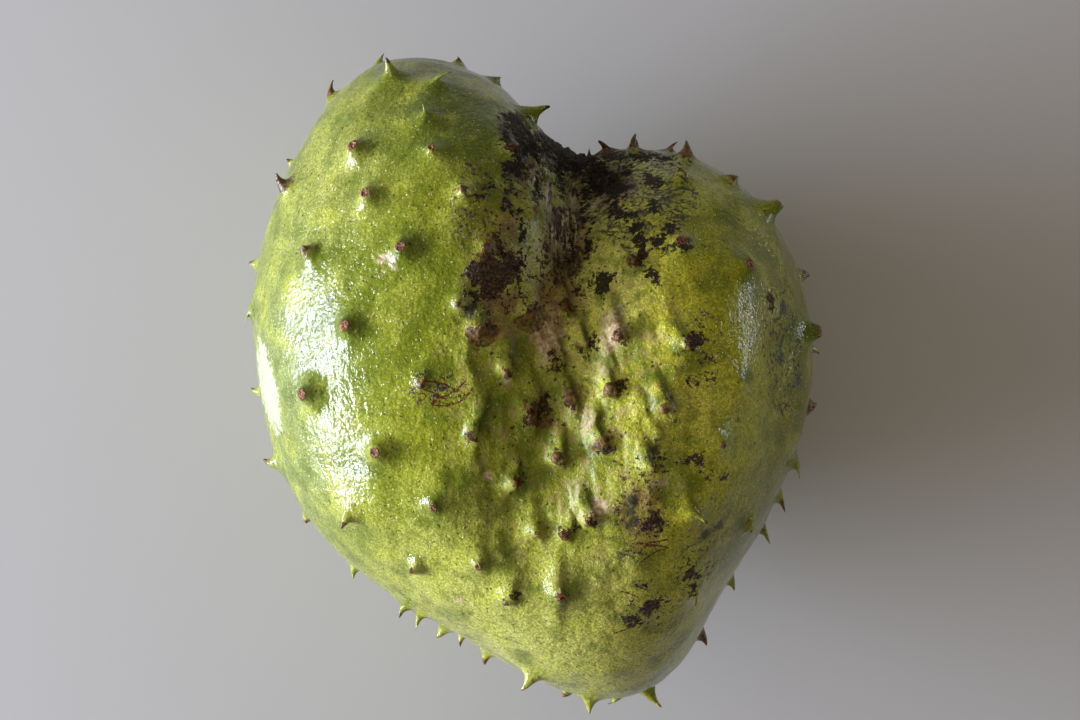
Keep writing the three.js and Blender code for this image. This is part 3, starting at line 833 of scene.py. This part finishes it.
# waxy rind: smooth green skin with small pebbles, so that the window breaks into white glints on it,
# and dull dry crust where it has scarred
waxyRind = {
    # soft patterns: mm across one patch in x, y and z, detail, roughness
    "noises": {
        "cloud": ((9, 9, 9), 2, 0.5),
        "mottle": ((4.2, 4.2, 4.2), 2, 0.55),
        "hammer": ((1.6, 1.6, 1.6), 1, 0.5),
        "grain": ((1.1, 1.1, 1.1), 2, 0.6),
        "coarse": ((3.4, 3.4, 3.4), 2, 0.6),
        "fine": ((1.0, 1.0, 1.0), 3, 0.7),
        "strands": ((0.85, 7, 7), 2, 0.62),
        "crumbs": ((0.62, 0.62, 0.62), 2, 0.65),
    },
    # cell patterns: mm across one cell, feature
    "cells": {
        "pebbles": (0.56, "F1"),
        "pores": (1.9, "F1"),
        "pimples": (1.25, "F1"),
        "spots": (2.9, "F1"),
        "cracks": (2.1, "DISTANCE_TO_EDGE"),
    },
    # colour of the skin over its painted tone: pattern, from, to, strength, colour
    "layers": (
        ("cloud", 0.49, 0.68, 0.6, "#bcc144"),
        ("cloud", 0.5, 0.3, 0.7, "#576a08"),
        ("mottle", 0.5, 0.3, 0.45, "#5c6a08"),
        ("mottle", 0.55, 0.75, 0.3, "#c6c860"),
        ("grain", 0.45, 0.25, 0.14, "#5e670a"),
        ("grain", 0.55, 0.75, 0.14, "#cfca60"),
        # the pale dots at the tops of pebbles and pimples are the skin's stipple and partly painted
        # highlight, standing in for tiny glints of the window
        ("pebbles", 0.28, 0.05, 0.38, "#cfce74"),
        ("pebbles", 0.34, 0.62, 0.5, "#54600a"),
        ("pimples", 0.2, 0.08, 0.6, "#e2e0a0"),
        ("pores", 0.18, 0.1, 0.85, "#33300c"),
    ),
    # and the same for the worn middle of the upper side only
    "wornLayers": (
        ("mottle", 0.5, 0.66, 0.5, "#a08a55"),
        ("mottle", 0.48, 0.34, 0.35, "#59600c"),
        ("spots", 0.2, 0.1, 0.85, "#2a160c"),
    ),
    # marks, from the skin up. edge is how far its outline wanders, in mm, by the coarse and the fine pattern
    "marks": {
        # painted reflection on the left rim, near white
        "paintedRimGlare": {"edge": (4, 4), "soft": 1.2, "strength": 0.85, "pattern": ("fine", 0.3, 0.7),
                     "dark": "#b9bf8e", "pale": "#dcdfc0", "lift": 0.0, "dull": 0.0},
        "pink": {"edge": (7, 3), "soft": 2.4, "strength": 0.88, "pattern": ("grain", 0.35, 0.65),
                 "dark": "#9c7c56", "pale": "#d9c4a0", "lift": 0.0, "dull": 0.12},
        "halo": {"edge": (7, 4), "soft": 3.2, "strength": 0.8, "pattern": ("fine", 0.38, 0.62),
                 "dark": "#563618", "pale": "#a5814a", "lift": 0.05, "dull": 0.2},
        "stain": {"edge": (9, 9), "soft": 2.2, "strength": 0.85, "pattern": ("crumbs", 0.4, 0.64),
                  "dark": "#1c100b", "pale": "#5c442a", "lift": 0.2, "dull": 0.3},
        "fibre": {"edge": (6, 4), "soft": 2.0, "strength": 0.9, "pattern": ("strands", 0.4, 0.62),
                  "dark": "#33261a", "pale": "#c8ba92", "lift": 0.35, "dull": 0.3},
        "speck": {"edge": (5, 12), "soft": 0.5, "strength": 0.9, "pattern": ("grain", 0.35, 0.65),
                  "dark": "#1f120a", "pale": "#4a2c18", "lift": 0.1, "dull": 0.4},
        "bruise": {"edge": (4.5, 3.5), "soft": 1.5, "strength": 0.88, "pattern": ("fine", 0.35, 0.65),
                   "dark": "#14160b", "pale": "#42442a", "lift": -0.1, "dull": 0.3},
        "scab": {"edge": (6, 7), "soft": 0.5, "strength": 0.96, "pattern": ("crumbs", 0.4, 0.68),
                 "dark": "#1a0d06", "pale": "#6e4a33", "lift": 0.3, "dull": 0.5},
        "crust": {"edge": (7, 8), "soft": 0.6, "strength": 0.97, "pattern": ("crumbs", 0.42, 0.74),
                  "dark": "#100a06", "pale": "#51401f", "lift": 0.35, "dull": 0.5},
        "cracked": {"edge": (5, 5), "soft": 1.5, "strength": 0.9, "pattern": ("fine", 0.3, 0.7),
                    "dark": "#0d0a07", "pale": "#2b2216", "lift": -0.2, "dull": 0.1,
                    "within": ("cracks", 0.2, 0.08)},
        "dryTip": {"edge": (1.5, 2.5), "soft": 0.9, "strength": 0.9, "pattern": ("grain", 0.35, 0.65),
                   "dark": "#24130a", "pale": "#7d4f22", "lift": 0.05, "dull": 0.15},
        "corkEnd": {"edge": (0.4, 1.0), "soft": 0.35, "strength": 0.95, "pattern": ("crumbs", 0.4, 0.66),
                    "dark": "#43190b", "pale": "#cf8a5e", "lift": 0.35, "dull": 0.5},
    },
    "spinePale": "#b4b058",
    "scratchColour": "#5c2a0f",
    # height in mm that each pattern adds to the skin
    "relief": (("pebbles", 0.62, 0.0, 0.034), ("pimples", 0.26, 0.06, 0.08), ("grain", 0.2, 0.8, 0.07),
               ("mottle", 0.2, 0.8, 0.12), ("hammer", 0.25, 0.75, 0.1), ("pores", 0.14, 0.05, -0.03)),
    "roughness": (0.11, 0.2),
    "wornDull": 0.28,           # the middle of the upper side has lost some of its wax
    "clearness": 1.46,          # index of refraction of the wax
    "cellBend": (0.6, 2.0),     # cells are bent by a pattern of this scale, and by this many mm
    "scratchLine": (0.26, 0.1),     # half the width of a scratch in mm, from its soft edge to its full colour
    "scratchWander": 1.1,
}


def makeWaxyRind():
    material = newMaterial("waxyRind")
    tree = material.node_tree
    objectCoords = addNode(tree, "TexCoord").outputs["Object"]
    inMm = addNode(tree, "VectorMath", {"operation": "SCALE"}, {0: objectCoords, "Scale": 1000.0}).outputs[0]

    patterns = {}
    for name, (size, detail, roughness) in waxyRind["noises"].items():
        fitted = addNode(tree, "Mapping", None, {"Vector": inMm, "Scale": [1 / s for s in size]}).outputs[0]
        patterns[name] = addNode(tree, "TexNoise", None, {
            "Vector": fitted, "Scale": 1.0, "Detail": detail, "Roughness": roughness}).outputs["Fac"]
    # cells are bent a little so that they don't look ruled
    bendScale, bendBy = waxyRind["cellBend"]
    bend = addNode(tree, "TexNoise", None, {
        "Vector": inMm, "Scale": bendScale, "Detail": 2.0}).outputs["Color"]
    bent = addNode(tree, "VectorMath", {"operation": "MULTIPLY_ADD"}, {
        0: bend, 1: (bendBy, bendBy, bendBy), 2: inMm}).outputs[0]
    for name, (size, feature) in waxyRind["cells"].items():
        patterns[name] = addNode(tree, "TexVoronoi", {"feature": feature}, {
            "Vector": bent, "Scale": 1 / size}).outputs["Distance"]
    centred = {}
    for name in ("coarse", "fine"):
        centred[name] = addNode(tree, "Math", {"operation": "SUBTRACT"}, {
            0: patterns[name], 1: 0.5}).outputs[0]

    base = addNode(tree, "Attribute", {"attribute_name": "tone"}).outputs["Color"]
    worn = addNode(tree, "Attribute", {"attribute_name": "worn"}).outputs["Fac"]
    for layer in waxyRind["layers"] + waxyRind["wornLayers"]:
        name, low, high, strength, colour = layer
        share = addNode(tree, "MapRange", {"interpolation_type": "SMOOTHSTEP"}, {
            "Value": patterns[name], "From Min": low, "From Max": high, "To Max": strength}).outputs[0]
        if layer in waxyRind["wornLayers"]:
            share = addNode(tree, "Math", {"operation": "MULTIPLY"}, {0: share, 1: worn}).outputs[0]
        base = addNode(tree, "MixRGB", None, {
            "Fac": share, "Color1": base, "Color2": toLinear(colour)}).outputs[0]
    share = addNode(tree, "Attribute", {"attribute_name": "spineShare"}).outputs["Fac"]
    share = addNode(tree, "MapRange", None, {"Value": share, "From Min": 0.1, "From Max": 0.8, "To Max": 0.6})
    base = addNode(tree, "MixRGB", None, {
        "Fac": share.outputs[0], "Color1": base, "Color2": toLinear(waxyRind["spinePale"])}).outputs[0]

    relief = addNode(tree, "Value").outputs[0]
    for name, low, high, height in waxyRind["relief"]:
        rise = addNode(tree, "MapRange", {"interpolation_type": "SMOOTHSTEP"}, {
            "Value": patterns[name], "From Min": low, "From Max": high, "To Max": height}).outputs[0]
        relief = addNode(tree, "Math", {"operation": "ADD"}, {0: relief, 1: rise}).outputs[0]

    gloss = addNode(tree, "MapRange", None, {
        "Value": patterns["mottle"], "From Min": 0.3, "From Max": 0.7,
        "To Min": waxyRind["roughness"][0], "To Max": waxyRind["roughness"][1]}).outputs[0]
    gloss = addNode(tree, "Math", {"operation": "MULTIPLY_ADD"}, {
        0: worn, 1: waxyRind["wornDull"], 2: gloss}).outputs[0]

    # thin scratches
    scratch = addNode(tree, "Attribute", {"attribute_name": "scratch"}).outputs["Vector"]
    scratch = addNode(tree, "SeparateXYZ", None, {0: scratch}).outputs
    aside = addNode(tree, "Math", {"operation": "ABSOLUTE"}, {0: scratch[1]}).outputs[0]
    aside = addNode(tree, "Math", {"operation": "MULTIPLY_ADD"}, {
        0: centred["fine"], 1: waxyRind["scratchWander"], 2: aside}).outputs[0]
    faint, full = waxyRind["scratchLine"]
    line = addNode(tree, "MapRange", None, {"Value": aside, "From Min": faint, "From Max": full}).outputs[0]
    along = addNode(tree, "Math", {"operation": "ABSOLUTE"}, {0: scratch[0]}).outputs[0]
    for operation, value, limit in (("LESS_THAN", along, 1.0), ("GREATER_THAN", scratch[2], 0.45)):
        kept = addNode(tree, "Math", {"operation": operation}, {0: value, 1: limit}).outputs[0]
        line = addNode(tree, "Math", {"operation": "MULTIPLY"}, {0: line, 1: kept}).outputs[0]
    base = addNode(tree, "MixRGB", None, {
        "Fac": line, "Color1": base, "Color2": toLinear(waxyRind["scratchColour"])}).outputs[0]

    for name, mark in waxyRind["marks"].items():
        depth = addNode(tree, "Attribute", {"attribute_name": name}).outputs["Fac"]
        for pattern, wander in zip(("coarse", "fine"), mark["edge"]):
            depth = addNode(tree, "Math", {"operation": "MULTIPLY_ADD"}, {
                0: centred[pattern], 1: wander, 2: depth}).outputs[0]
        mask = addNode(tree, "MapRange", {"interpolation_type": "SMOOTHSTEP"}, {
            "Value": depth, "From Min": 0.0, "From Max": mark["soft"], "To Max": mark["strength"]}).outputs[0]
        if "within" in mark:
            pattern, low, high = mark["within"]
            kept = addNode(tree, "MapRange", {"interpolation_type": "SMOOTHSTEP"}, {
                "Value": patterns[pattern], "From Min": low, "From Max": high}).outputs[0]
            mask = addNode(tree, "Math", {"operation": "MULTIPLY"}, {0: mask, 1: kept}).outputs[0]
        pattern, low, high = mark["pattern"]
        rise = addNode(tree, "MapRange", {"interpolation_type": "SMOOTHSTEP"}, {
            "Value": patterns[pattern], "From Min": low, "From Max": high}).outputs[0]
        colour = addNode(tree, "MixRGB", None, {
            "Fac": rise, "Color1": toLinear(mark["dark"]), "Color2": toLinear(mark["pale"])}).outputs[0]
        base = addNode(tree, "MixRGB", None, {"Fac": mask, "Color1": base, "Color2": colour}).outputs[0]
        lift = addNode(tree, "Math", {"operation": "MULTIPLY_ADD"}, {
            0: rise, 1: mark["lift"], 2: mark["lift"] / 3})
        lift = addNode(tree, "Math", {"operation": "MULTIPLY"}, {0: lift.outputs[0], 1: mask}).outputs[0]
        relief = addNode(tree, "Math", {"operation": "ADD"}, {0: relief, 1: lift}).outputs[0]
        gloss = addNode(tree, "Math", {"operation": "MULTIPLY_ADD"}, {
            0: mask, 1: mark["dull"], 2: gloss}).outputs[0]

    bump = addNode(tree, "Bump", None, {"Height": relief, "Distance": 0.001, "Strength": 1.0}).outputs[0]
    shader = addNode(tree, "BsdfPrincipled", None, {
        "Base Color": base, "Roughness": gloss, "Normal": bump, "IOR": waxyRind["clearness"]})
    addNode(tree, "OutputMaterial", None, {"Surface": shader.outputs[0]})
    return material


def makeRind():
    piece = copyFruit()
    spines = findSpines(piece.data)
    print(len(spines), "spines found")
    flattenFlanks(piece, spines)
    trimSpines(piece, spines)
    finishSpines(spines)
    smoothRind(piece)
    thinOut(piece, rind["coarseBelow"], rind["coarseShare"])
    refine(piece, rind["fineCentre"], rind["fineHalf"], rind["fineLowest"])
    refine(piece, rind["crustCentre"], rind["crustHalf"], rind["crustLowest"])
    fields, bare = spineFields(readPlaces(piece.data), spines)
    shades = sculptRind(piece, spines, bare)
    print("skin sculpted,", sum(len(face.vertices) - 2 for face in piece.data.polygons), "triangles")
    for name, values in fields.items():
        saveField(piece.data, name, values)
    paintMarks(piece, spines)
    paintTones(piece, spines, shades)
    piece.data.materials.append(makeWaxyRind())
    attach(piece, "root")
    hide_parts("fruit")


makeRind()
print("rind ready")
